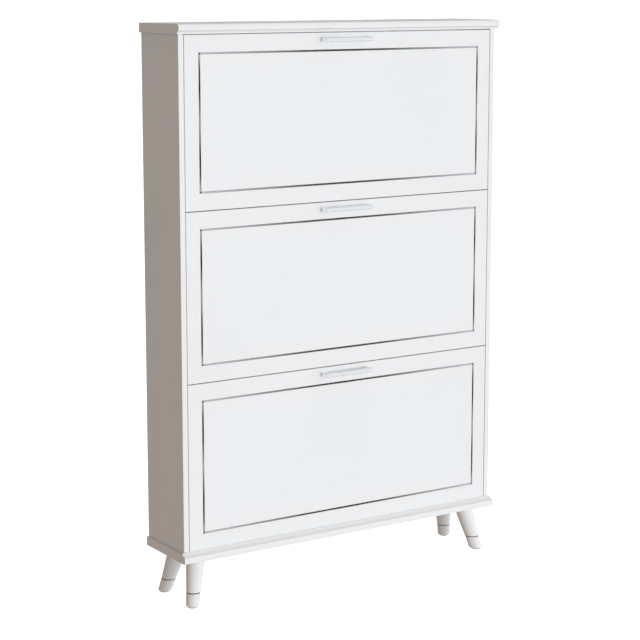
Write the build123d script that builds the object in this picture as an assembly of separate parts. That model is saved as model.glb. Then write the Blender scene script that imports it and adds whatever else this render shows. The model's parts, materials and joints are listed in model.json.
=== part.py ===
from build123d import *
import math
import os

# Slim shoe cabinet with three flip-down doors, in millimetres.
# Frame: +Z up, floor at z = 0, origin under the middle of the object, doors face -Y.

# ---- driving dimensions ----
board_width = 800.0
total_height = 1200.0
carcass_width = 790.0
carcass_depth = 155.0
front_overhang = 12.0
top_thickness = 20.0
base_thickness = 19.0
leg_height = 101.0
side_thickness = 12.0
side_round = 1.0
side_shadow_v = 0.9
back_thickness = 3.0
back_setback = 5.0
groove_depth = 5.0
groove_slack = 0.5

door_count = 3
door_thickness = 15.0
door_height = 351.3
door_side_gap = 1.0
door_gap = 1.5
door_bottom_gap = 1.5
door_edge_round = 1.5

trim_side_inset = 32.5
trim_end_inset = 35.0
trim_width = 4.0
trim_depth = 2.0
trim_proud = 0.4
score_width = 1.0
score_depth = 0.8
score_drop = {"upper": 0.0, "middle": 0.0, "lower": 10.0}

handle_length = 118.0
handle_height = 9.5
handle_bar_thickness = 6.0
handle_standoff = 14.0
handle_post_width = 10.0
handle_drop = 14.5
handle_round = 1.8
handle_end_round = 1.2
handle_screw_r = 2.0
handle_head_r = 4.0
handle_head_thickness = 2.5
handle_screw_bite = 10.0

pivot_inset = 9.0
pivot_rise = 40.0
pivot_pin_r = 2.5
pivot_clearance = 0.05
pin_in_door = 25.0
pin_in_side = 8.5
pin_end_slack = 0.2
bushing_r = 4.5
bushing_depth = 9.0
flange_r = 6.5
flange_thickness = 0.5
door_travel = 48.0

bracket_gap = 3.0
bracket_thickness = 6.0
bracket_bottom = 8.0
bracket_top = 320.0
bracket_rim = 236.0
bracket_heel = 18.0
bracket_sweep = 170.0
channel_wall = 2.5
channel_depth = 8.0
flange_width = 20.0
flange_depth = 3.0
flange_top_drop = 20.0
rear_lip_rise = 15.0
bracket_screw_rises = (60.0, 170.0, 280.0)
door_screw_r = 1.75
door_screw_length = 13.0
bucket_board = 9.0
tray_bottom = 14.0
rear_front = 119.0
rear_top = 232.0
divider_rear_rise = 170.0
divider_front_rise = 235.0
divider_sweep = 150.0

stop_radius = 95.0
stop_angle = 62.0
stop_pin_r = 3.0
stop_slot_r = 3.5
stop_slack = 1.0
stop_in_side = 8.0
stop_reach = 9.5

screw_head_ratio = 1.9
rail_thickness = 15.0
rail_depth = 60.0
rail_setback = 20.0
wall_rail_height = 70.0
wall_hole_r = 2.5
wall_hole_spacing = 600.0

catch_width = 14.0
catch_length = 27.0
catch_height = 12.0
catch_bottom = 322.0
catch_round = 1.5
catch_screw_r = 1.5
catch_screw_bite = 8.0
catch_screw_places = (0.3, 0.75)
strike_thickness = 1.2
strike_gap = 0.3
strike_margin = 0.5

cam_r = 6.0
cam_depth = 9.5
cam_reach = 24.0
cam_bolt_r = 2.5
cam_bolt_bite = 9.0
dowel_r = 3.0
dowel_length = 24.0
dowel_in_side = 8.0
cross_dowel_share = 0.3
front_dowel_y = 18.0
front_cam_y = 45.0
rear_cam_y = 118.0
rear_dowel_y = 136.0

leg_top_x = 349.0
leg_foot_x = 371.0
leg_top_y = 37.0
leg_foot_y = 61.0
leg_top_r = 20.5
ring_height = 31.0
ring_width = 2.0
ring_recess = 0.6
leg_ring_r = 15.2
foot_r = 14.0
foot_round = 3.5
pad_thickness = 2.0
pad_r = 9.5
bolt_r = 4.0
bolt_in_leg = 28.0
insert_r = 6.0
insert_height = 12.0
foot_cup_inset = 0.1
insert_spare = 1.0

# ---- worked-out planes ----
handle_reach = handle_standoff + handle_bar_thickness
overall_depth = handle_reach + carcass_depth
front_y = handle_reach - overall_depth / 2
back_y = overall_depth / 2
board_front_y = front_y - front_overhang
base_top = leg_height + base_thickness
top_bottom = total_height - top_thickness
half_inner = carcass_width / 2 - side_thickness
half_carcass = carcass_width / 2
half_board = board_width / 2
half_door = half_inner - door_side_gap
groove_front = back_y - back_setback - back_thickness
side_mid_x = half_carcass - side_thickness / 2
doors = ("lower", "middle", "upper")
door_bottoms = {}
for door_index, door_name in enumerate(doors):
    lift = door_index * (door_height + door_gap)
    door_bottoms[door_name] = base_top + door_bottom_gap + lift

os.makedirs("parts", exist_ok=True)


def save(name, solids):
    """Write one sub-part, a solid or a group of separate solids, as parts/NAME.step."""
    if isinstance(solids, (list, tuple)):
        shape = Compound(children=[piece for item in solids for piece in item.solids()])
    else:
        shape = solids
    shape.label = name
    export_step(shape, f"parts/{name}.step")


def block(x_span, y_span, z_span):
    """Box between two values on each axis."""
    spans = (x_span, y_span, z_span)
    middle = [(low + high) / 2 for low, high in spans]
    size = [high - low for low, high in spans]
    return Pos(*middle) * Box(*size)


def mirrored(sign, low, high):
    """X span of a piece on the left (sign -1) or right (sign 1)."""
    return (low, high) if sign > 0 else (-high, -low)


def rod(start, direction, radius, length):
    """Round bar from a point along a direction."""
    base = (Align.CENTER, Align.CENTER, Align.MIN)
    return Plane(origin=start, z_dir=direction) * Cylinder(radius, length, align=base)


def taper(start, direction, start_r, end_r, length):
    """Round tapered bar from a point along a direction."""
    base = (Align.CENTER, Align.CENTER, Align.MIN)
    return Plane(origin=start, z_dir=direction) * Cone(start_r, end_r, length, align=base)


def section(edges, half_width):
    """Extrude an outline drawn in (y, z) from -half_width to half_width along X."""
    face = Plane.YZ.offset(-half_width) * make_face(edges)
    return extrude(face, amount=2 * half_width)


def cut_by(body, tools):
    """Take every tool solid out of a body."""
    for tool in tools:
        body = body - tool
    return body


def countersunk(start, direction, radius, length):
    """Flat-headed screw whose head face is at the start point."""
    head_r = radius * screw_head_ratio
    head = taper(start, direction, head_r, radius, radius)
    return head + rod(start, direction, radius, length)


def grid(first, second):
    """Every pair of two lists of values."""
    return [(a, b) for a in first for b in second]


# ---- fixings of the carcass ----
def cam_pair(corner, bolt_direction, cam_direction, cam_face):
    """A cam bolt that bites into a board at the corner point, and the cam that pulls it."""
    away = Vector(*bolt_direction)
    start = Vector(*corner) - away * cam_bolt_bite
    bolt = rod(start, bolt_direction, cam_bolt_r, cam_bolt_bite + cam_reach)
    middle = Vector(*corner) + away * cam_reach
    toward = Vector(*cam_direction)
    seat = middle + toward * (cam_face - middle.dot(toward))
    cam = rod(seat, tuple(toward * -1), cam_r, cam_depth)
    return bolt, cam


def carcass_fixings():
    """Cam bolts, whole cam cylinders and dowels of every carcass joint."""
    bolts, cams, dowels = [], [], []
    for side in (-1, 1):
        for joint_z, up in ((base_top, 1), (top_bottom, -1)):
            for local_y in (front_cam_y, rear_cam_y):
                corner = (side * side_mid_x, front_y + local_y, joint_z)
                bolt, cam = cam_pair(corner, (0, 0, up), (-side, 0, 0), -half_inner)
                bolts.append(bolt)
                cams.append(cam)
            for local_y in (front_dowel_y, rear_dowel_y):
                start = (side * side_mid_x, front_y + local_y, joint_z - up * dowel_length / 2)
                dowels.append(rod(start, (0, 0, up), dowel_r, dowel_length))
        for rail_z in rail_heights():
            mid_z = rail_z + rail_thickness / 2
            rail_mid_y = front_y + rail_setback + rail_depth / 2
            corner = (side * half_inner, rail_mid_y, mid_z)
            bolt, cam = cam_pair(corner, (-side, 0, 0), (0, 0, -1), -rail_z)
            bolts.append(bolt)
            cams.append(cam)
            for offset in (-rail_depth * cross_dowel_share, rail_depth * cross_dowel_share):
                start = (side * (half_inner + dowel_in_side), rail_mid_y + offset, mid_z)
                dowels.append(rod(start, (-side, 0, 0), dowel_r, dowel_length))
        wall_y = groove_front - rail_thickness / 2
        wall_z = top_bottom - wall_rail_height / 2
        corner = (side * half_inner, wall_y, wall_z)
        face = -(groove_front - rail_thickness)
        bolt, cam = cam_pair(corner, (-side, 0, 0), (0, -1, 0), face)
        bolts.append(bolt)
        cams.append(cam)
        for offset in (-wall_rail_height / 3, wall_rail_height / 3):
            start = (side * (half_inner + dowel_in_side), wall_y, wall_z + offset)
            dowels.append(rod(start, (-side, 0, 0), dowel_r, dowel_length))
    return bolts, cams, dowels


def rail_heights():
    """Undersides of the two cross rails, whose tops are level with the door tops."""
    return [door_bottoms[name] + door_height - rail_thickness for name in ("lower", "middle")]


# ---- legs ----
def leg_axis(side, end):
    """Top centre, foot centre and unit direction downwards of one leg."""
    mid_y = (board_front_y + back_y) / 2
    top = Vector(side * leg_top_x, mid_y + end * leg_top_y, leg_height)
    foot = Vector(side * leg_foot_x, mid_y + end * leg_foot_y, 0)
    return top, foot, (foot - top).normalized()


def leg_pieces(side, end):
    """Leg, ring, foot cup, glide pad, hanger bolt and board insert of one corner."""
    top, foot, down = leg_axis(side, end)
    length = (foot - top).length
    ring_at = length * (1 - ring_height / leg_height)
    spare = 15.0  # extra length that the level cuts trim off
    slope = (leg_top_r - leg_ring_r) / ring_at
    x_span, y_span = (-half_board, half_board), (-overall_depth, overall_depth)
    start_r, end_r = leg_top_r + slope * spare, leg_ring_r - slope * spare
    leg = taper(top - down * spare, down, start_r, end_r, ring_at + 2 * spare)
    leg = leg & block(x_span, y_span, (ring_height, leg_height))
    ring_base = ring_height - ring_width
    neck_start = top + down * (ring_at - spare)
    neck_r = leg_ring_r - ring_recess
    ring = taper(neck_start, down, neck_r + slope * spare, neck_r - slope * spare, 2 * spare)
    ring = ring & block(x_span, y_span, (ring_base, ring_height))
    cup_r = leg_ring_r - foot_cup_inset
    cup_slope = (cup_r - foot_r) / (length - ring_at)
    start_r, end_r = cup_r + cup_slope * spare, foot_r - cup_slope * spare
    cup = taper(neck_start, down, start_r, end_r, length - ring_at + 2 * spare)
    cup = cup & block(x_span, y_span, (pad_thickness, ring_base))
    cup = fillet(cup.edges().sort_by(Axis.Z)[0], foot_round)
    pad = rod((foot.X, foot.Y, 0), (0, 0, 1), pad_r, pad_thickness)
    bolt = rod(top + down * bolt_in_leg, tuple(down * -1), bolt_r, bolt_in_leg + insert_height)
    in_board = block(x_span, y_span, (leg_height, base_top))
    insert = rod(top + down * spare, tuple(down * -1), insert_r, insert_height + spare + insert_spare)
    insert = insert & in_board
    leg = leg - bolt
    return leg, ring, cup, pad, bolt, insert


# ---- boards ----
def top_board_blank():
    """Top board with a rounded nosing, a quirk line and a cove under it."""
    round_r = 5.0
    quirk = 0.8
    arris = 0.4
    lip = 1.0
    face_low = top_bottom + 7.0
    cove_run = 5.5
    cove_r = 7.0
    nose_y = board_front_y + quirk
    nose_top = (nose_y + round_r, total_height)
    nose_end = (nose_y, total_height - round_r)
    quirk_out = (board_front_y, total_height - round_r - arris)
    face_end = (board_front_y, face_low)
    cove_start = (board_front_y + quirk, face_low - arris)
    cove_end = (board_front_y + quirk + cove_run, top_bottom + lip)
    edges = [
        Line((back_y, top_bottom), (back_y, total_height)),
        Line((back_y, total_height), nose_top),
        RadiusArc(nose_top, nose_end, -round_r),
        Line(nose_end, quirk_out),
        Line(quirk_out, face_end),
        Line(face_end, cove_start),
        RadiusArc(cove_start, cove_end, cove_r),
        Line(cove_end, (cove_end[0], top_bottom)),
        Line((cove_end[0], top_bottom), (back_y, top_bottom)),
    ]
    return section(edges, half_board)


def base_board_blank():
    """Base board with a lip before the door's lower edge and a cove down to an upright face."""
    cove_low = base_top - 5.0
    cove_r = 20.0
    corner_r = 2.5
    arris_run, arris_fall = 0.8, 0.4
    lip_gap, lip_rise, lip_width = 0.6, 3.2, 1.4
    lip_foot = (front_y - lip_gap, base_top)
    lip_top = (front_y - lip_gap, base_top + lip_rise)
    cove_in = (front_y - lip_gap - lip_width, base_top + lip_rise)
    cove_out = (board_front_y + arris_run, cove_low)
    face_top = (board_front_y, cove_low - arris_fall)
    face_low = (board_front_y, leg_height + corner_r)
    under = (board_front_y + corner_r, leg_height)
    edges = [
        Line((back_y, leg_height), (back_y, base_top)),
        Line((back_y, base_top), lip_foot),
        Line(lip_foot, lip_top),
        Line(lip_top, cove_in),
        RadiusArc(cove_in, cove_out, cove_r),
        Line(cove_out, face_top),
        Line(face_top, face_low),
        RadiusArc(face_low, under, -corner_r),
        Line(under, (back_y, leg_height)),
    ]
    return section(edges, half_board)


def back_groove(low_z, high_z, half_x):
    """Slot that the back panel slides into."""
    return block((-half_x, half_x), (groove_front, groove_front + back_thickness), (low_z, high_z))


def build_carcass():
    bolts, cams, dowels = carcass_fixings()
    cam_tools = bolts + cams + dowels
    groove_half = half_inner + groove_depth
    groove = back_groove(base_top - groove_depth, top_bottom + groove_depth, groove_half)
    corners = grid((-1, 1), (-1, 1))
    side_names = {-1: "left", 1: "right"}
    end_names = {-1: "front", 1: "rear"}
    rings, cups, pads, leg_bolts, inserts = [], [], [], [], []
    for side, end in corners:
        leg, ring, cup, pad, bolt, insert = leg_pieces(side, end)
        save(f"leg_{end_names[end]}_{side_names[side]}", leg)
        rings.append(ring)
        cups.append(cup)
        pads.append(pad)
        leg_bolts.append(bolt)
        inserts.append(insert)
    save("leg_rings", rings)
    save("foot_cups", cups)
    save("foot_pads", pads)
    save("leg_bolts", leg_bolts)
    save("leg_inserts", [insert - bolt for insert, bolt in zip(inserts, leg_bolts)])

    save("top_board", cut_by(top_board_blank(), [groove] + bolts + dowels))
    save("base_board", cut_by(base_board_blank(), [groove] + bolts + dowels + inserts + leg_bolts))

    bushings, bores = [], []
    stop_pins, catches, catch_screws = [], [], []
    for side in (-1, 1):
        for name in doors:
            bushing, bore, pin = side_hinge_parts(side, door_bottoms[name])
            bushings.append(bushing)
            bores.append(bore)
            stop_pins.append(pin)
            catch, screws = magnet_catch(side, door_bottoms[name])
            catches.append(catch)
            catch_screws += screws
    panel_tools = [groove] + cam_tools + bores + stop_pins + catch_screws
    for side, name in ((-1, "left"), (1, "right")):
        x_span = mirrored(side, half_inner, half_carcass)
        panel = block(x_span, (front_y, back_y), (base_top, top_bottom))
        front_edges = panel.edges().filter_by(Axis.Z).group_by(Axis.Y)[0]
        panel = fillet(front_edges, side_round)
        end_edges = panel.edges().filter_by(Axis.Y).group_by(Axis.X)[0 if side < 0 else -1]
        panel = chamfer(end_edges, side_shadow_v)
        save(f"side_panel_{name}", cut_by(panel, panel_tools))
    save("pivot_bushings", bushings)
    save("stop_pins", stop_pins)
    save("magnet_catches", catches)
    save("catch_screws", catch_screws)
    save("cam_bolts", bolts)
    save("dowels", dowels)
    save("cam_locks", [cut_by(cam, bolts) for cam in cams])

    slot_half = half_inner + groove_depth - groove_slack
    low_z = base_top - groove_depth + groove_slack
    high_z = top_bottom + groove_depth - groove_slack
    wall_z = top_bottom - wall_rail_height / 2
    wall_holes = []
    for side in (-1, 1):
        start = (side * wall_hole_spacing / 2, front_y, wall_z)
        wall_holes.append(rod(start, (0, 1, 0), wall_hole_r, carcass_depth))
    save("back_panel", cut_by(back_groove(low_z, high_z, slot_half), wall_holes))
    wall_rail = block(
        (-half_inner, half_inner),
        (groove_front - rail_thickness, groove_front),
        (top_bottom - wall_rail_height, top_bottom),
    )
    save("wall_rail", cut_by(wall_rail, wall_holes + cam_tools))
    rail_y = (front_y + rail_setback, front_y + rail_setback + rail_depth)
    for name, low in zip(("cross_rail_lower", "cross_rail_upper"), rail_heights()):
        rail = block((-half_inner, half_inner), rail_y, (low, low + rail_thickness))
        save(name, cut_by(rail, cam_tools))


# ---- hinge and catch pieces on the side panels ----
def stop_point(bottom, angle):
    """Y and Z of a point on the stop circle round a door's pivot."""
    turn = math.radians(angle)
    y = front_y + pivot_inset + stop_radius * math.cos(turn)
    z = bottom + pivot_rise + stop_radius * math.sin(turn)
    return y, z


def side_hinge_parts(side, bottom):
    """Flanged bushing, its seat in the side panel, and the stop pin."""
    inward = (-side, 0, 0)
    axis_y = front_y + pivot_inset
    axis_z = bottom + pivot_rise
    seat = (side * (half_inner + bushing_depth), axis_y, axis_z)
    bore = rod(seat, inward, bushing_r, bushing_depth)
    face = (side * half_inner, axis_y, axis_z)
    flange = rod(face, inward, flange_r, flange_thickness)
    hole_start = (side * (half_inner + pin_in_side + pin_end_slack), axis_y, axis_z)
    hole = rod(hole_start, inward, pivot_pin_r + pivot_clearance, bushing_depth + flange_thickness)
    stop_y, stop_z = stop_point(bottom, stop_angle)
    pin_start = (side * (half_inner + stop_in_side), stop_y, stop_z)
    pin = rod(pin_start, inward, stop_pin_r, stop_in_side + stop_reach)
    return bore + flange - hole, bore, pin


def magnet_catch(side, bottom):
    """Catch body on the side panel and its two screws."""
    face_y = front_y + door_thickness + strike_thickness + strike_gap
    x_span = mirrored(side, half_inner - catch_width, half_inner)
    z_low = bottom + catch_bottom
    body = block(x_span, (face_y, face_y + catch_length), (z_low, z_low + catch_height))
    body = fillet(body.edges().filter_by(Axis.X), catch_round)
    screws = []
    for offset in catch_screw_places:
        screw_y = face_y + catch_length * offset
        start = (side * (half_inner - catch_width), screw_y, z_low + catch_height / 2)
        screws.append(countersunk(start, (side, 0, 0), catch_screw_r, catch_width + catch_screw_bite))
    return cut_by(body, screws), screws


# ---- doors ----
def door_frame_ring(outer_grow, y_low, y_high, bottom):
    """Rectangular ring that follows the inlay, between two depths."""
    half_x = half_door - trim_side_inset + outer_grow
    low_z = bottom + trim_end_inset - outer_grow
    high_z = bottom + door_height - trim_end_inset + outer_grow
    outer = block((-half_x, half_x), (y_low, y_high), (low_z, high_z))
    inner = block(
        (-half_x + trim_width, half_x - trim_width),
        (y_low, y_high),
        (low_z + trim_width, high_z - trim_width),
    )
    return outer - inner


def trim_strips(bottom):
    """Four inlay strips with mitred ends, a little proud of the door."""
    y_low = front_y - trim_proud
    y_high = front_y + trim_depth
    half_x = half_door - trim_side_inset
    low_z = bottom + trim_end_inset
    high_z = bottom + door_height - trim_end_inset
    strips = []
    for edge_z, inward in ((low_z, 1), (high_z, -1)):
        inner_z = edge_z + inward * trim_width
        outline = [
            (-half_x, edge_z), (half_x, edge_z),
            (half_x - trim_width, inner_z), (-half_x + trim_width, inner_z),
        ]
        strips.append(outline)
    for edge_x, inward in ((-half_x, 1), (half_x, -1)):
        inner_x = edge_x + inward * trim_width
        outline = [
            (edge_x, low_z), (inner_x, low_z + trim_width),
            (inner_x, high_z - trim_width), (edge_x, high_z),
        ]
        strips.append(outline)
    front = Plane.XZ.offset(-y_high)
    return [extrude(front * make_face(Polyline(*o, close=True)), amount=y_high - y_low) for o in strips]


def door_handle(bottom):
    """Bar with a post at each end, and the two screws that hold it."""
    mid_z = bottom + door_height - handle_drop
    half_z = handle_height / 2
    half_x = handle_length / 2
    z_span = (mid_z - half_z, mid_z + half_z)
    bar = block((-half_x, half_x), (front_y - handle_reach, front_y - handle_standoff), z_span)
    post_x = half_x - handle_post_width / 2
    for side in (-1, 1):
        x_span = mirrored(side, half_x - handle_post_width, half_x)
        bar = bar + block(x_span, (front_y - handle_standoff, front_y), z_span)
    bar = fillet(bar.edges().filter_by(Axis.X), handle_round)
    ends = bar.faces().filter_by(Axis.X).sort_by(Axis.X)
    end_edges = [edge for face in (ends[0], ends[-1]) for edge in face.edges().group_by(Axis.Y)[0]]
    bar = fillet(end_edges, handle_end_round)
    screws = []
    for side in (-1, 1):
        head_start = (side * post_x, front_y + door_thickness + handle_head_thickness, mid_z)
        head = rod(head_start, (0, -1, 0), handle_head_r, handle_head_thickness)
        reach = handle_head_thickness + door_thickness + handle_screw_bite
        shank = rod(head_start, (0, -1, 0), handle_screw_r, reach)
        screws.append(head + shank)
    return cut_by(bar, screws), screws


def pivot_pins(bottom):
    pins = []
    for side in (-1, 1):
        start = (side * (half_door - pin_in_door), front_y + pivot_inset, bottom + pivot_rise)
        pins.append(rod(start, (side, 0, 0), pivot_pin_r, pin_in_door + door_side_gap + pin_in_side))
    return pins


def bracket_outline(bottom):
    """Side plate of the bucket: upright at the door, curved down to the rear rim."""
    front = front_y + door_thickness
    rear = front_y + rear_front + bucket_board + channel_wall
    low = bottom + bracket_bottom
    start = (rear, bottom + bracket_rim)
    end = (front, bottom + bracket_top)
    return [
        Line((front, low), (rear - bracket_heel, low)),
        RadiusArc((rear - bracket_heel, low), (rear, low + bracket_heel), -bracket_heel),
        Line((rear, low + bracket_heel), start),
        RadiusArc(start, end, bracket_sweep),
        Line(end, (front, low)),
    ]


def stop_slot(x_span, bottom):
    """Curved slot round the pivot that the stop pin runs in."""
    centre_y = front_y + pivot_inset
    centre_z = bottom + pivot_rise
    length = x_span[1] - x_span[0]
    start = (x_span[0], centre_y, centre_z)
    ring = rod(start, (1, 0, 0), stop_radius + stop_slot_r, length)
    ring = ring - rod(start, (1, 0, 0), stop_radius - stop_slot_r, length)
    high = math.radians(stop_angle + stop_slack / 2)
    low = math.radians(stop_angle - door_travel - stop_slack / 2)
    reach = stop_radius * 2
    wedge = Polyline(
        (centre_y, centre_z),
        (centre_y + reach * math.cos(low), centre_z + reach * math.sin(low)),
        (centre_y + reach * math.cos((low + high) / 2), centre_z + reach * math.sin((low + high) / 2)),
        (centre_y + reach * math.cos(high), centre_z + reach * math.sin(high)),
        close=True,
    )
    cutter = extrude(Plane.YZ.offset(x_span[0]) * make_face(wedge), amount=length)
    slot = ring & cutter
    for turn in (low, high):
        end = (x_span[0], centre_y + stop_radius * math.cos(turn), centre_z + stop_radius * math.sin(turn))
        slot = slot + rod(end, (1, 0, 0), stop_slot_r, length)
    return slot


def bucket_bracket(side, bottom, screws):
    """Side plate with a door flange and channels that hold the two boards."""
    outer_x = half_inner - bracket_gap
    inner_x = outer_x - bracket_thickness
    plate_span = mirrored(side, inner_x, outer_x)
    face = Plane.YZ.offset(plate_span[0]) * make_face(bracket_outline(bottom))
    bracket = extrude(face, amount=bracket_thickness)
    front = front_y + door_thickness
    flange_span = mirrored(side, inner_x - flange_width, inner_x)
    flange_z = (bottom + tray_bottom + bucket_board, bottom + bracket_top - flange_top_drop)
    bracket = bracket + block(flange_span, (front, front + flange_depth), flange_z)
    lip_span = mirrored(side, inner_x - channel_depth, inner_x)
    rear_face = front_y + rear_front
    rear_back = rear_face + bucket_board
    tray_top = tray_bottom + bucket_board
    lip_front = rear_face - channel_wall
    lips = [
        ((front, rear_back), (tray_bottom - channel_wall, tray_bottom)),
        ((front + flange_depth, lip_front), (tray_top, tray_top + channel_wall)),
        ((lip_front, rear_face), (tray_top, rear_top)),
        ((rear_back, rear_back + channel_wall), (tray_bottom + rear_lip_rise, rear_top)),
    ]
    for y_span, (low, high) in lips:
        bracket = bracket + block(lip_span, y_span, (bottom + low, bottom + high))
    return cut_by(bracket - stop_slot(plate_span, bottom), screws)


def door_screws(bottom):
    """Bracket screws and strike plate screws, all of one size."""
    screws = []
    flange_face = front_y + door_thickness + flange_depth
    strike_face = front_y + door_thickness + strike_thickness
    for side in (-1, 1):
        flange_x = side * (half_inner - bracket_gap - bracket_thickness - flange_width / 2)
        for rise in bracket_screw_rises:
            start = (flange_x, flange_face, bottom + rise)
            screws.append(countersunk(start, (0, -1, 0), door_screw_r, door_screw_length))
        strike_x = side * (half_inner - catch_width / 2)
        start = (strike_x, strike_face, bottom + catch_bottom + catch_height / 2)
        screws.append(countersunk(start, (0, -1, 0), door_screw_r, door_screw_length))
    return screws


def strike_plates(bottom, screws):
    plates = []
    back = front_y + door_thickness
    for side in (-1, 1):
        x_span = mirrored(side, half_inner - catch_width + strike_margin, half_door - strike_margin)
        z_span = (bottom + catch_bottom, bottom + catch_bottom + catch_height)
        plate = block(x_span, (back, back + strike_thickness), z_span)
        plates.append(cut_by(plate, screws))
    return plates


def divider(bottom):
    """Upright board in the middle of the bucket, lower at the back."""
    front = front_y + door_thickness
    rear = front_y + rear_front
    low = bottom + tray_bottom + bucket_board
    start = (rear, low + divider_rear_rise)
    end = (front, low + divider_front_rise)
    edges = [
        Line((front, low), (rear, low)),
        Line((rear, low), start),
        RadiusArc(start, end, divider_sweep),
        Line(end, (front, low)),
    ]
    return section(edges, bucket_board / 2)


def door_panel(name, tools):
    bottom = door_bottoms[name]
    span_z = (bottom, bottom + door_height)
    panel = block((-half_door, half_door), (front_y, front_y + door_thickness), span_z)
    panel = fillet(panel.faces().sort_by(Axis.Y)[0].edges(), door_edge_round)
    panel = panel - door_frame_ring(0.0, front_y, front_y + trim_depth, bottom)
    score_z = bottom + door_height / 2 - score_drop[name]
    for side in (-1, 1):
        x_span = mirrored(side, half_door - trim_side_inset, half_door)
        z_span = (score_z - score_width / 2, score_z + score_width / 2)
        panel = panel - block(x_span, (front_y, front_y + score_depth), z_span)
    return cut_by(panel, tools)


def build_door(name):
    bottom = door_bottoms[name]
    handle, handle_screws = door_handle(bottom)
    pins = pivot_pins(bottom)
    screws = door_screws(bottom)
    save(f"door_panel_{name}", door_panel(name, pins + screws + handle_screws))
    save(f"door_trim_{name}", trim_strips(bottom))
    save(f"door_handle_{name}", handle)
    save(f"handle_screws_{name}", handle_screws)
    save(f"pivot_pins_{name}", pins)
    save(f"door_screws_{name}", screws)
    save(f"strike_plates_{name}", strike_plates(bottom, screws))
    for side, side_name in ((-1, "left"), (1, "right")):
        save(f"bucket_bracket_{side_name}_{name}", bucket_bracket(side, bottom, screws))
    half_tray = half_inner - bracket_gap - bracket_thickness
    y_tray = (front_y + door_thickness, front_y + rear_front)
    z_tray = (bottom + tray_bottom, bottom + tray_bottom + bucket_board)
    save(f"tray_board_{name}", block((-half_tray, half_tray), y_tray, z_tray))
    y_rear = (front_y + rear_front, front_y + rear_front + bucket_board)
    z_rear = (bottom + tray_bottom, bottom + rear_top)
    save(f"rear_board_{name}", block((-half_tray, half_tray), y_rear, z_rear))
    save(f"bucket_divider_{name}", divider(bottom))


build_carcass()
for door_name in doors:
    build_door(door_name)
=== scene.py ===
import bpy
import json
import math
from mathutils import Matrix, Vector


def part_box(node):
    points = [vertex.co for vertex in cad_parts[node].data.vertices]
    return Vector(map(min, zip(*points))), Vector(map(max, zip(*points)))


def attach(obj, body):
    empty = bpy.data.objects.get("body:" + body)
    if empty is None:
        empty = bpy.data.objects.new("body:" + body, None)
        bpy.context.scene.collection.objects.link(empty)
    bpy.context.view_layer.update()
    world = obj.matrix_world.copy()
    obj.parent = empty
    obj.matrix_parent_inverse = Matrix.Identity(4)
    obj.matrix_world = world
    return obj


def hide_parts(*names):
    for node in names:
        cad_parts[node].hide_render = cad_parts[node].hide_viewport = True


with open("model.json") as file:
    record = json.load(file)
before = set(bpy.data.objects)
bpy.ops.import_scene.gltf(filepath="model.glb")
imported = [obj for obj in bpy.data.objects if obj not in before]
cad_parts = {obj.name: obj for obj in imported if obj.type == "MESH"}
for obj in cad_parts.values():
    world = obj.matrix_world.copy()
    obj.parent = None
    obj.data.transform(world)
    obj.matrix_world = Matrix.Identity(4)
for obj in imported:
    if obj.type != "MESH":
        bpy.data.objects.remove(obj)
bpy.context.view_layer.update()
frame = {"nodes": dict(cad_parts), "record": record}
doorNames = ("lower", "middle", "upper")
slotOf = {row["node"]: row["material_slot"] for row in frame["record"]["subparts"]}
bodies = frame["record"]["behaviour"]["bodies"]
bodyOf = {node: body for body, nodes in bodies.items() for node in nodes}
touch = 1e-6  # how near counts as the same place, in metres
print("frame loaded,", len(frame["nodes"]), "nodes")


def deselectAll():
    for item in bpy.context.selected_objects:
        item.select_set(False)


def pick(piece):
    deselectAll()
    piece.select_set(True)
    bpy.context.view_layer.objects.active = piece


def editMode(piece):
    pick(piece)
    bpy.ops.object.mode_set(mode="EDIT")


def objectMode():
    bpy.ops.object.mode_set(mode="OBJECT")


def selectFaces(piece, test):  # faces whose centre and normal pass the test
    bpy.ops.mesh.select_mode(type="FACE")
    bpy.ops.mesh.select_all(action="DESELECT")
    objectMode()
    for face in piece.data.polygons:
        face.select = test(face.center, face.normal)
    bpy.ops.object.mode_set(mode="EDIT")


def selectEdges(piece, test):  # edges whose two ends pass the test
    bpy.ops.mesh.select_mode(type="EDGE")
    bpy.ops.mesh.select_all(action="DESELECT")
    objectMode()
    points = piece.data.vertices
    for edge in piece.data.edges:
        edge.select = test(points[edge.vertices[0]].co, points[edge.vertices[1]].co)
    bpy.ops.object.mode_set(mode="EDIT")


def addBox(name, low, high):
    deselectAll()
    middle = [(a + b) / 2 for a, b in zip(low, high)]
    bpy.ops.mesh.primitive_cube_add(size=1, location=middle)
    piece = bpy.context.object
    piece.name = name
    piece.scale = [b - a for a, b in zip(low, high)]
    bpy.ops.object.transform_apply(location=True, rotation=True, scale=True)
    return piece


def addDisc(name, radius, at, sides=48):
    deselectAll()
    bpy.ops.mesh.primitive_circle_add(vertices=sides, radius=radius, fill_type="NGON", location=at)
    piece = bpy.context.object
    piece.name = name
    bpy.ops.object.transform_apply(location=True, rotation=True, scale=True)
    return piece


def applyAll(piece):
    pick(piece)
    for modifier in list(piece.modifiers):
        bpy.ops.object.modifier_apply(modifier=modifier.name)


def roundEdges(piece, width, segments=3, angle=30.0):
    bevel = piece.modifiers.new("arris", "BEVEL")
    bevel.width = width
    bevel.segments = segments
    bevel.limit_method = "ANGLE"
    bevel.angle_limit = math.radians(angle)
    applyAll(piece)


def shade(piece, angle=40.0):
    pick(piece)
    bpy.ops.object.shade_smooth_by_angle(angle=math.radians(angle))
    weigh = piece.modifiers.new("flatFaces", "WEIGHTED_NORMAL")
    weigh.keep_sharp = True
    applyAll(piece)


def joinPieces(name, pieces):
    deselectAll()
    for piece in pieces:
        piece.select_set(True)
    bpy.context.view_layer.objects.active = pieces[0]
    bpy.ops.object.join()
    pieces[0].name = name
    return pieces[0]


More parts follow.
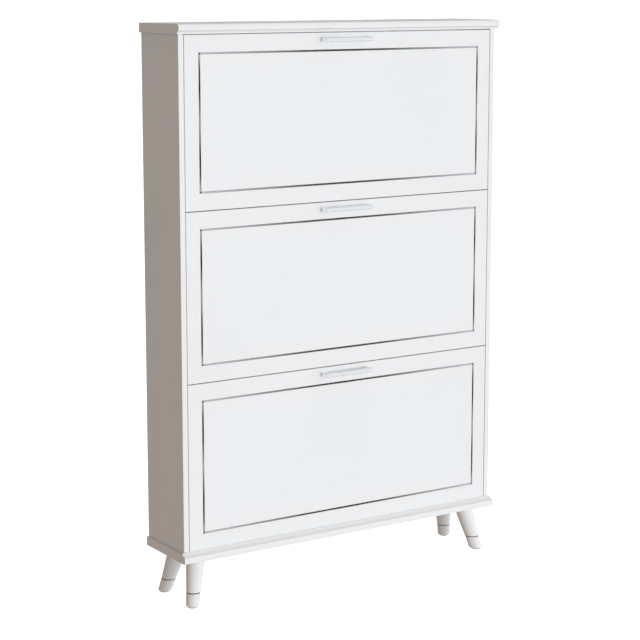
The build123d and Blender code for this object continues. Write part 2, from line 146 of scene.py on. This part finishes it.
def copyPiece(piece, name, mirrorX=False, mirrorY=0.0):  # mirrored across x = 0 and y = mirrorY
    twin = piece.copy()
    twin.data = piece.data.copy()
    twin.name = name
    bpy.context.scene.collection.objects.link(twin)
    editMode(twin)
    bpy.ops.mesh.select_all(action="SELECT")
    if mirrorX:
        bpy.ops.transform.mirror(constraint_axis=(True, False, False), center_override=(0, 0, 0))
    if mirrorY:
        bpy.ops.transform.mirror(constraint_axis=(False, True, False), center_override=(0, mirrorY, 0))
    bpy.ops.mesh.normals_make_consistent(inside=False)
    objectMode()
    return twin


def makeMaterial(name):
    material = bpy.data.materials.new(name)
    material.use_nodes = True
    tree = material.node_tree
    return material, tree, tree.nodes["Principled BSDF"]


def addNode(tree, kind, **values):
    node = tree.nodes.new(kind)
    for key, value in values.items():
        if hasattr(node, key):
            setattr(node, key, value)
        else:
            node.inputs[key.replace("_", " ")].default_value = value
    return node


def addNoise(tree, scale, detail=3.0, roughness=0.5):
    place = addNode(tree, "ShaderNodeTexCoord")
    noise = addNode(tree, "ShaderNodeTexNoise", Scale=scale, Detail=detail, Roughness=roughness)
    tree.links.new(place.outputs["Object"], noise.inputs["Vector"])
    return noise.outputs["Fac"]


def mixColours(tree, factor, dark, light):
    ramp = addNode(tree, "ShaderNodeValToRGB")
    ramp.color_ramp.elements[0].position = 0.3
    ramp.color_ramp.elements[1].position = 0.7
    ramp.color_ramp.elements[0].color = (*dark, 1)
    ramp.color_ramp.elements[1].color = (*light, 1)
    tree.links.new(factor, ramp.inputs["Fac"])
    return ramp.outputs["Color"]


def spread(tree, factor, low, high, start=0.3, end=0.7):
    between = addNode(tree, "ShaderNodeMapRange")
    between.inputs["From Min"].default_value = start
    between.inputs["From Max"].default_value = end
    between.inputs["To Min"].default_value = low
    between.inputs["To Max"].default_value = high
    tree.links.new(factor, between.inputs["Value"])
    return between.outputs["Result"]


def maths(tree, operation, first, second=None):
    node = addNode(tree, "ShaderNodeMath", operation=operation)
    for socket, value in zip(node.inputs, (first, second)):
        if isinstance(value, (int, float)):
            socket.default_value = value
        elif value is not None:
            tree.links.new(value, socket)
    return node.outputs["Value"]


def addBump(tree, shader, height, strength, distance):
    bump = addNode(tree, "ShaderNodeBump", Strength=strength, Distance=distance)
    tree.links.new(height, bump.inputs["Height"])
    tree.links.new(bump.outputs["Normal"], shader.inputs["Normal"])


def paint(piece, material):
    piece.data.materials.clear()
    piece.data.materials.append(material)


lacquer = {"cloudScale": 4.0, "smearScale": 23.0, "peelDepth": 0.0002}
metal = {"toneScale": 35.0, "grainScale": 60.0, "pitScale": 1200.0, "pitStrength": 0.03, "pitDepth": 0.0001}


def makeLacquer(name, dark, light, roughLow, roughHigh, peelScale, peelStrength):
    material, tree, shader = makeMaterial(name)
    cloud = addNoise(tree, lacquer["cloudScale"], 2.0)
    tree.links.new(mixColours(tree, cloud, dark, light), shader.inputs["Base Color"])
    smear = addNoise(tree, lacquer["smearScale"], 4.0)
    tree.links.new(spread(tree, smear, roughLow, roughHigh), shader.inputs["Roughness"])
    addBump(tree, shader, addNoise(tree, peelScale, 2.0), peelStrength, lacquer["peelDepth"])
    return material


def makeMetal(name, dark, light, roughLow, roughHigh):
    material, tree, shader = makeMaterial(name)
    shader.inputs["Metallic"].default_value = 1.0
    tone = addNoise(tree, metal["toneScale"], 3.0)
    tree.links.new(mixColours(tree, tone, dark, light), shader.inputs["Base Color"])
    smear = addNoise(tree, metal["grainScale"], 4.0)
    tree.links.new(spread(tree, smear, roughLow, roughHigh), shader.inputs["Roughness"])
    pits = addNoise(tree, metal["pitScale"], 2.0)
    addBump(tree, shader, pits, metal["pitStrength"], metal["pitDepth"])
    return material


inlay = {
    # painted reflection: base tones along the level and upright strips, dark in the middle and light at the
    # ends, in place of what the rounded metal mirrors
    "levelPaintedReflection": ((0.0, 0.08), (0.28, 0.13), (0.55, 0.36), (1.0, 0.66)),
    "uprightPaintedReflection": ((0.0, 0.46), (0.2, 0.30), (0.48, 0.015), (0.75, 0.12), (1.0, 0.58)),
    "seamHalf": 0.0008,
    "seamTone": (0.04, 0.04, 0.045),
    "width": 0.004,
    "crown": 0.0009,
    "joint": 0.0001,
    "smearScale": 90.0,
    "gloss": (0.12, 0.26),
    "blue": (1.0, 1.005, 1.015),
}


def makeInlay(name, low, high):  # polished frame; its base colour, darker towards the middle of each strip and lighter at the ends, is a painted reflection of the rounded strip
    material, tree, shader = makeMaterial(name)
    shader.inputs["Metallic"].default_value = 1.0
    halfX, halfZ = (high.x - low.x) / 2, (high.z - low.z) / 2
    place = addNode(tree, "ShaderNodeTexCoord")
    parts = addNode(tree, "ShaderNodeSeparateXYZ")
    tree.links.new(place.outputs["Object"], parts.inputs["Vector"])
    across = maths(tree, "ABSOLUTE", parts.outputs["X"])
    rise = maths(tree, "ABSOLUTE", maths(tree, "SUBTRACT", parts.outputs["Z"], (low.z + high.z) / 2))
    runs = ((across, halfX, inlay["levelPaintedReflection"]), (rise, halfZ, inlay["uprightPaintedReflection"]))
    paintedReflections = []
    # each strip's painted reflection tone, set by its distance from the strip's middle
    for distance, half, stops in runs:
        ramp = addNode(tree, "ShaderNodeValToRGB")
        while len(ramp.color_ramp.elements) < len(stops):
            ramp.color_ramp.elements.new(0.5)
        for element, (position, tone) in zip(ramp.color_ramp.elements, stops):
            element.position = position
            element.color = (*(tone * part for part in inlay["blue"]), 1)
        tree.links.new(maths(tree, "DIVIDE", distance, half), ramp.inputs["Fac"])
        paintedReflections.append(ramp.outputs["Color"])
    fromEdgeX = maths(tree, "SUBTRACT", halfX, across)
    fromEdgeZ = maths(tree, "SUBTRACT", halfZ, rise)
    chooser = addNode(tree, "ShaderNodeMix", data_type="RGBA")
    tree.links.new(maths(tree, "LESS_THAN", fromEdgeX, fromEdgeZ), chooser.inputs["Factor"])
    tree.links.new(paintedReflections[0], chooser.inputs["A"])
    tree.links.new(paintedReflections[1], chooser.inputs["B"])
    # base colour darker along each mitre seam, towards seamTone
    seam = maths(tree, "ABSOLUTE", maths(tree, "SUBTRACT", fromEdgeX, fromEdgeZ))
    seamDarkening = addNode(tree, "ShaderNodeMix", data_type="RGBA")
    seamDarkening.inputs["A"].default_value = (*inlay["seamTone"], 1)
    clear = spread(tree, seam, 0.0, 1.0, inlay["seamHalf"], inlay["seamHalf"] * 3)
    tree.links.new(clear, seamDarkening.inputs["Factor"])
    tree.links.new(chooser.outputs["Result"], seamDarkening.inputs["B"])
    tree.links.new(seamDarkening.outputs["Result"], shader.inputs["Base Color"])
    smear = addNoise(tree, inlay["smearScale"], 4.0)
    tree.links.new(spread(tree, smear, *inlay["gloss"]), shader.inputs["Roughness"])
    return material


lacquers = {  # slot: dark tone, light tone, roughness from and to, scale and strength of the surface texture
    "white_lacquer": ((0.795, 0.81, 0.825), (0.81, 0.825, 0.84), 0.42, 0.5, 700.0, 0.05),
    "white_board": ((0.78, 0.78, 0.77), (0.82, 0.82, 0.81), 0.5, 0.62, 1500.0, 0.12),
    "back_board": ((0.76, 0.76, 0.75), (0.80, 0.80, 0.79), 0.5, 0.6, 1200.0, 0.1),
    "leg_lacquer": ((0.79, 0.80, 0.805), (0.82, 0.825, 0.83), 0.36, 0.46, 500.0, 0.08),
    "foot_plastic": ((0.78, 0.785, 0.79), (0.80, 0.805, 0.81), 0.35, 0.45, 900.0, 0.05),
    "catch_plastic": ((0.76, 0.76, 0.75), (0.79, 0.79, 0.78), 0.4, 0.5, 900.0, 0.1),
    "bracket_plastic": ((0.66, 0.67, 0.68), (0.70, 0.71, 0.72), 0.45, 0.55, 900.0, 0.2),
    "nylon": ((0.74, 0.74, 0.71), (0.77, 0.77, 0.74), 0.4, 0.5, 900.0, 0.1),
    "glide_felt": ((0.16, 0.16, 0.155), (0.22, 0.22, 0.215), 0.9, 1.0, 1800.0, 0.6),
    "dowel_beech": ((0.50, 0.33, 0.19), (0.60, 0.42, 0.26), 0.6, 0.7, 900.0, 0.2),
}
metals = {  # slot: dark tone, light tone, roughness from and to
    "polished_metal": ((0.90, 0.91, 0.92), (0.94, 0.95, 0.96), 0.16, 0.24),
    "zinc_steel": ((0.50, 0.51, 0.53), (0.58, 0.59, 0.61), 0.25, 0.4),
    "cam_zinc": ((0.44, 0.45, 0.46), (0.52, 0.53, 0.54), 0.35, 0.5),
    "brass_insert": ((0.68, 0.47, 0.20), (0.76, 0.54, 0.25), 0.2, 0.35),
}
finishes = {slot: makeLacquer(slot, *values) for slot, values in lacquers.items()}
finishes.update({slot: makeMetal(slot, *values) for slot, values in metals.items()})
darkRing = makeMetal("darkRing", (0.10, 0.10, 0.105), (0.16, 0.16, 0.165), 0.3, 0.42)
for nodeName, node in frame["nodes"].items():
    paint(node, finishes[slotOf[nodeName]])
print("finishes on")


def finishPiece(piece, nodeName, material=None):
    paint(piece, material or finishes[slotOf[nodeName]])
    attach(piece, bodyOf[nodeName])
    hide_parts(nodeName)


softened = {
    "boards": {"width": 0.0006, "segments": 3},
    "plastic": {"width": 0.0005, "segments": 2},
    "thin": {"width": 0.00025, "segments": 2},
}


def mergedCopy(nodeName):  # a copy of a CAD piece, its loose triangles merged into flat faces
    source = frame["nodes"][nodeName]
    piece = source.copy()
    piece.data = source.data.copy()
    for key in list(piece.keys()):
        del piece[key]
    piece.parent = None
    piece.name = nodeName + "_finished"
    bpy.context.scene.collection.objects.link(piece)
    editMode(piece)
    bpy.ops.mesh.select_all(action="SELECT")
    bpy.ops.mesh.remove_doubles(threshold=touch)
    bpy.ops.mesh.dissolve_limited(angle_limit=math.radians(0.5))
    objectMode()
    return piece


def softenCopy(nodeName, kind):  # the piece with its sharp arrises eased
    piece = mergedCopy(nodeName)
    roundEdges(piece, softened[kind]["width"], softened[kind]["segments"], 32.0)
    shade(piece)
    finishPiece(piece, nodeName)
    return piece


boardNodes = ["top_board", "base_board", "side_panel_left", "side_panel_right", "wall_rail"]
boardNodes += ["cross_rail_lower", "cross_rail_upper"]
plasticNodes = ["magnet_catches"]
thinNodes = ["back_panel", "stop_pins", "pivot_bushings"]
for doorName in doorNames:
    boardStems = ("door_panel", "tray_board", "rear_board", "bucket_divider")
    boardNodes += [f"{stem}_{doorName}" for stem in boardStems]
    plasticNodes += [f"bucket_bracket_{side}_{doorName}" for side in ("left", "right")]
    thinNodes += [f"{stem}_{doorName}" for stem in ("strike_plates", "pivot_pins")]
for kind, names in (("boards", boardNodes), ("plastic", plasticNodes), ("thin", thinNodes)):
    for nodeName in names:
        softenCopy(nodeName, kind)
print("arrises eased on", len(boardNodes) + len(plasticNodes) + len(thinNodes), "pieces")


recess = {
    "screw": {"arm": 0.0036, "width": 0.0009, "depth": 0.0011},
    "cam": {"arm": 0.0062, "width": 0.0015, "depth": 0.002},
}


def cutCrosses(piece, centres, facing, kind):  # a driver cross in each head; facing is the heads' axis
    sizes = recess[kind]
    across, upwards = [axis for axis in range(3) if axis != facing]
    for along in (across, upwards):
        half = Vector([sizes["width"] / 2] * 3)
        half[facing] = sizes["depth"]
        half[along] = sizes["arm"] / 2
        arms = [addBox("crossArm", centre - half, centre + half) for centre in centres]
        cutter = joinPieces("crossArms", arms)
        slot = piece.modifiers.new("slot", "BOOLEAN")
        slot.object = cutter
        slot.operation = "DIFFERENCE"
        slot.solver = "EXACT"
        applyAll(piece)
        bpy.data.objects.remove(cutter)


def headCentres(nodeName, facing, towards):  # middles of the heads whose faces pass towards
    piece = mergedCopy(nodeName)
    smallest = recess["screw"]["arm"] ** 2
    flat = [face for face in piece.data.polygons if abs(face.normal[facing]) > 0.99 and face.area > smallest]
    centres = [face.center.copy() for face in flat if towards(face)]
    bpy.data.objects.remove(piece)
    return centres


for doorName in doorNames:
    for stem in ("door_screws", "handle_screws"):
        centres = headCentres(f"{stem}_{doorName}", 1, lambda face: face.normal.y > 0)
        cutCrosses(softenCopy(f"{stem}_{doorName}", "thin"), centres, 1, "screw")
        print(stem, doorName, len(centres), "crosses")
camCentres = headCentres("cam_locks", 0, lambda face: face.normal.x * face.center.x < 0)
cutCrosses(softenCopy("cam_locks", "thin"), camCentres, 0, "cam")
print("crosses cut in", len(camCentres), "cams")


def buildStrip(name, low, high, level, inward):  # crowned along its length and mitred at both ends
    piece = addBox(name, low, high)
    along, across = (0, 2) if level else (2, 0)
    editMode(piece)
    selectEdges(piece, lambda a, b: abs(a[along] - b[along]) > touch and max(a.y, b.y) < low.y + touch)
    bpy.ops.mesh.bevel(offset=inlay["crown"], segments=5, affect="EDGES")
    for end in (-1, 1):
        corner, normal = Vector((0, 0, 0)), Vector((0, 0, 0))
        corner[along] = (high[along] if end > 0 else low[along]) - end * inlay["joint"]
        corner[across] = low[across] if inward > 0 else high[across]
        normal[along] = end
        normal[across] = inward
        bpy.ops.mesh.select_all(action="SELECT")
        mitre = normal.normalized()
        bpy.ops.mesh.bisect(plane_co=corner, plane_no=mitre, use_fill=True, clear_outer=True)
    objectMode()
    return piece


def buildInlay(doorName):
    nodeName = f"door_trim_{doorName}"
    low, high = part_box(nodeName)
    width = inlay["width"]
    spans = (
        ("bottom", low, Vector((high.x, high.y, low.z + width)), True, 1),
        ("top", Vector((low.x, low.y, high.z - width)), high, True, -1),
        ("left", low, Vector((low.x + width, high.y, high.z)), False, 1),
        ("right", Vector((high.x - width, low.y, low.z)), high, False, -1),
    )
    strips = [buildStrip(f"inlay_{label}", *values) for label, *values in spans]
    piece = joinPieces(nodeName + "_finished", strips)
    shade(piece, 35.0)
    finishPiece(piece, nodeName, makeInlay(f"inlay_{doorName}", low, high))


for doorName in doorNames:
    buildInlay(doorName)
print("inlay frames built")

handle = {
    "postWidth": 0.010,
    "barThickness": 0.006,
    "edgeRound": 0.0018,
    "endRound": 0.0006,
    "rounds": 5,
}


def buildHandle(doorName):
    nodeName = f"door_handle_{doorName}"
    low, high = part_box(nodeName)
    barBack = low.y + handle["barThickness"]
    inner = high.x - handle["postWidth"]
    piece = addBox(nodeName + "_finished", low, Vector((high.x, barBack, high.z)))
    editMode(piece)
    for x in (-inner, inner):
        bpy.ops.mesh.select_all(action="SELECT")
        bpy.ops.mesh.bisect(plane_co=(x, 0, 0), plane_no=(1, 0, 0))
    selectFaces(piece, lambda centre, normal: normal.y > 0.9 and abs(centre.x) > inner)
    bpy.ops.mesh.extrude_region_move(TRANSFORM_OT_translate={"value": (0, high.y - barBack, 0)})
    selectEdges(piece, lambda a, b: abs(a.x - b.x) > handle["barThickness"] and a.y < barBack + touch)
    bpy.ops.mesh.bevel(offset=handle["edgeRound"], segments=handle["rounds"], affect="EDGES")
    objectMode()
    roundEdges(piece, handle["endRound"], 3, 50.0)
    shade(piece, 50.0)
    finishPiece(piece, nodeName)


for doorName in doorNames:
    buildHandle(doorName)
print("handles built")

legs = {
    "top": (0.349, 0.037),  # across and along from the middle of the foot pattern, at the board
    "foot": (0.371, 0.061),
    "height": 0.101,
    "topRadius": 0.0205,
    "ringRadius": 0.0152,
    "footRadius": 0.0140,
    "ringHeight": 0.031,
    "ringWidth": 0.002,
    "ringRecess": 0.0006,
    "padHeight": 0.002,
    "padRadius": 0.0095,
    "footRound": 0.0035,
    "legRim": 0.0006,
    "cupRim": 0.0005,
    "padRim": 0.0004,
    "cupInset": 0.0001,
    "spare": 0.015,
    "sides": 96,
}


def stackRings(piece, rings):  # extrude a disc upwards through rings given as radius and height
    editMode(piece)
    bpy.ops.mesh.select_all(action="SELECT")
    radius, height = rings[0]
    for nextRadius, nextHeight in rings[1:]:
        bpy.ops.mesh.extrude_region_move(TRANSFORM_OT_translate={"value": (0, 0, nextHeight - height)})
        grow = nextRadius / radius
        bpy.ops.transform.resize(value=(grow, grow, 1), center_override=(0, 0, nextHeight))
        radius, height = nextRadius, nextHeight
    bpy.ops.mesh.select_all(action="SELECT")
    bpy.ops.mesh.normals_make_consistent(inside=False)
    objectMode()


def leanLeg(piece, middleY):  # from upright over the origin to the lean of the front left leg
    topX, topY = legs["top"]
    footX, footY = legs["foot"]
    foot = Vector((-footX, middleY - footY, 0))
    up = (Vector((-topX, middleY - topY, legs["height"])) - foot).normalized()
    piece.rotation_euler = up.to_track_quat("Z", "Y").to_euler()
    piece.location = foot
    pick(piece)
    bpy.ops.object.transform_apply(location=True, rotation=True, scale=True)


def cutLevel(piece, height, keepBelow):  # cut off all above a height, or all below it
    editMode(piece)
    bpy.ops.mesh.select_all(action="SELECT")
    sides = {"clear_outer": keepBelow, "clear_inner": not keepBelow}
    bpy.ops.mesh.bisect(plane_co=(0, 0, height), plane_no=(0, 0, 1), use_fill=True, **sides)
    objectMode()


def spreadToCorners(piece, names, middleY):  # one corner's piece copied, mirrored, to all four
    corners = ((False, 0.0), (True, 0.0), (False, middleY), (True, middleY))
    copies = [copyPiece(piece, name, mirrorX=x, mirrorY=y) for name, (x, y) in zip(names, corners)]
    bpy.data.objects.remove(piece)
    return copies


def joinCorners(piece, nodeName, middleY, material=None):
    copies = spreadToCorners(piece, [f"{nodeName}_{i}" for i in range(4)], middleY)
    whole = joinPieces(nodeName + "_finished", copies)
    finishPiece(whole, nodeName, material)


def turnTaper(name, radiusAtFloor, slope, start, end, rows):  # a round bar that widens upwards
    heights = [start + (end - start) * i / rows for i in range(rows + 1)]
    rings = [(radiusAtFloor + slope * height, height) for height in heights]
    piece = addDisc(name, rings[0][0], (0, 0, start), legs["sides"])
    stackRings(piece, rings)
    return piece


def roundRim(piece, height, width, segments):  # ease the rim that a level cut has left
    editMode(piece)
    near = 20 * touch
    selectEdges(piece, lambda a, b: abs(a.z - height) < near and abs(b.z - height) < near)
    bpy.ops.mesh.bevel(offset=width, segments=segments, affect="EDGES")
    objectMode()


def buildLegs():
    low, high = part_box("base_board")
    middleY = (low.y + high.y) / 2
    leanX, leanY = (foot - top for foot, top in zip(legs["foot"], legs["top"]))
    lean = Vector((leanX, leanY, legs["height"])).length
    stretch = lean / legs["height"]
    spare = legs["spare"]
    ringAt = legs["ringHeight"] * stretch
    slope = (legs["topRadius"] - legs["ringRadius"]) / (lean - ringAt)
    ringBase = legs["ringHeight"] - legs["ringWidth"]
    floorRadius = legs["ringRadius"] - slope * ringAt
    leg = turnTaper("legTurned", floorRadius, slope, ringAt - spare, lean + spare, 12)
    leanLeg(leg, middleY)
    cutLevel(leg, legs["height"], True)
    cutLevel(leg, legs["ringHeight"], False)
    roundRim(leg, legs["ringHeight"], legs["legRim"], 3)
    shade(leg, 45.0)
    legNodes = ["leg_front_left", "leg_front_right", "leg_rear_left", "leg_rear_right"]
    pieces = spreadToCorners(leg, [name + "_finished" for name in legNodes], middleY)
    for piece, nodeName in zip(pieces, legNodes):
        finishPiece(piece, nodeName)

    floorRadius -= legs["ringRecess"]
    ring = turnTaper("ringTurned", floorRadius, slope, ringAt - spare, ringAt + spare, 1)
    leanLeg(ring, middleY)
    cutLevel(ring, legs["ringHeight"], True)
    cutLevel(ring, ringBase, False)
    shade(ring, 45.0)
    joinCorners(ring, "leg_rings", middleY, darkRing)

    cupTop = legs["ringRadius"] - legs["cupInset"]
    cupSlope = (cupTop - legs["footRadius"]) / ringAt
    cup = turnTaper("cupTurned", legs["footRadius"], cupSlope, -spare, ringAt + spare, 1)
    leanLeg(cup, middleY)
    cutLevel(cup, ringBase, True)
    cutLevel(cup, legs["padHeight"], False)
    roundRim(cup, ringBase, legs["cupRim"], 3)
    roundRim(cup, legs["padHeight"], legs["footRound"], 8)
    shade(cup, 50.0)
    joinCorners(cup, "foot_cups", middleY)

    footX, footY = legs["foot"]
    pad = addDisc("padCut", legs["padRadius"], (-footX, middleY - footY, 0), 64)
    stackRings(pad, [(legs["padRadius"], 0), (legs["padRadius"], legs["padHeight"])])
    roundEdges(pad, legs["padRim"], 3, 40.0)
    shade(pad, 50.0)
    joinCorners(pad, "foot_pads", middleY)


buildLegs()
print("legs, rings, cups and glides turned")

studio = {
    "floorSize": 400.0,
    "floorGlow": 0.8,
    "floorTint": (0.86, 0.86, 0.86),
    "shadeSide": (0.4385, 0.3815, 0.336),  # air on the left, warm and dim
    "lightSide": (0.85, 0.87, 0.90),  # air on the right, which the metal mirrors
    "turnStart": -0.1,
    "turnEnd": 0.5,
    "zenithDim": 0.62,  # the air is brightest near the horizon
    "dimBetween": (0.3, 0.85),
    "sunPower": 1.16,
    "sunFrom": (0.10, -1.0, 0.0),
    "sunTint": (0.96, 0.985, 1.0),
    "sunSpread": 10.0,
    "fillSpread": 5.0,
    "fillPower": 0.57,
    "fillFrom": (0.04, -1.0, 0.0),
    "topPower": 0.2,
    "topFrom": (0.0, -0.2, 1.0),
    "topSpread": 60.0,
    "backPower": 0.8,
    "backFrom": (0.55, 1.0, 0.1),
    "backSpread": 30.0,
}
cameraPlace = {
    "at": (-2.1459, -3.2685, 1.2793),
    "turn": 33.063,
    "drop": 9.132,
    "lens": 103.41,
    "shiftY": -0.065,
}


def addSun(name, comesFrom, power, tint, spreadAngle, shadows=True):
    data = bpy.data.lights.new(name, "SUN")
    data.energy = power
    data.color = tint
    data.angle = math.radians(spreadAngle)
    data.use_shadow = shadows
    lamp = bpy.data.objects.new(name, data)
    bpy.context.scene.collection.objects.link(lamp)
    lamp.rotation_euler = Vector(comesFrom).to_track_quat("Z", "Y").to_euler()
    lamp.visible_glossy = False  # the gloss comes from the air alone, with no hot spots


def buildFloor():
    deselectAll()
    bpy.ops.mesh.primitive_plane_add(size=studio["floorSize"], location=(0, 0, 0))
    floor = bpy.context.object
    floor.name = "studioFloor"
    material, tree, shader = makeMaterial("floorPaper")
    shader.inputs["Base Color"].default_value = (*studio["floorTint"], 1)
    shader.inputs["Roughness"].default_value = 0.9
    shader.inputs["Specular IOR Level"].default_value = 0.0
    shader.inputs["Emission Color"].default_value = (1, 1, 1, 1)
    shader.inputs["Emission Strength"].default_value = studio["floorGlow"]
    paint(floor, material)
    floor.visible_diffuse = False  # the paper is seen, but throws no light back on the cabinet
    floor.visible_glossy = False
    floor.visible_shadow = False


def buildAir():
    world = bpy.data.worlds.new("studioAir")
    bpy.context.scene.world = world
    world.use_nodes = True
    tree = world.node_tree
    place = addNode(tree, "ShaderNodeTexCoord")
    parts = addNode(tree, "ShaderNodeSeparateXYZ")
    mixer = addNode(tree, "ShaderNodeMix", data_type="RGBA")
    mixer.inputs["A"].default_value = (*studio["shadeSide"], 1)
    mixer.inputs["B"].default_value = (*studio["lightSide"], 1)
    tree.links.new(place.outputs["Generated"], parts.inputs["Vector"])
    turn = spread(tree, parts.outputs["X"], 0.0, 1.0, studio["turnStart"], studio["turnEnd"])
    tree.links.new(turn, mixer.inputs["Factor"])
    tree.links.new(mixer.outputs["Result"], tree.nodes["Background"].inputs["Color"])
    steepness = maths(tree, "ABSOLUTE", parts.outputs["Z"])
    dim = spread(tree, steepness, 1.0, studio["zenithDim"], *studio["dimBetween"])
    tree.links.new(dim, tree.nodes["Background"].inputs["Strength"])


def buildCamera():
    data = bpy.data.cameras.new("shopCamera")
    data.sensor_width = 36.0
    data.lens = cameraPlace["lens"]
    data.shift_y = cameraPlace["shiftY"]
    camera = bpy.data.objects.new("shopCamera", data)
    bpy.context.scene.collection.objects.link(camera)
    camera.location = cameraPlace["at"]
    camera.rotation_euler = (math.radians(90 - cameraPlace["drop"]), 0, math.radians(-cameraPlace["turn"]))
    bpy.context.scene.camera = camera


buildFloor()
buildAir()
tint = studio["sunTint"]
addSun("frontSun", studio["sunFrom"], studio["sunPower"], tint, studio["sunSpread"])
addSun("fillSun", studio["fillFrom"], studio["fillPower"], tint, studio["fillSpread"], False)
addSun("backSun", studio["backFrom"], studio["backPower"], tint, studio["backSpread"])
addSun("topSun", studio["topFrom"], studio["topPower"], (1, 1, 1), studio["topSpread"])
buildCamera()
bpy.context.scene.view_settings.view_transform = "Standard"
print("stage, lights and camera ready")
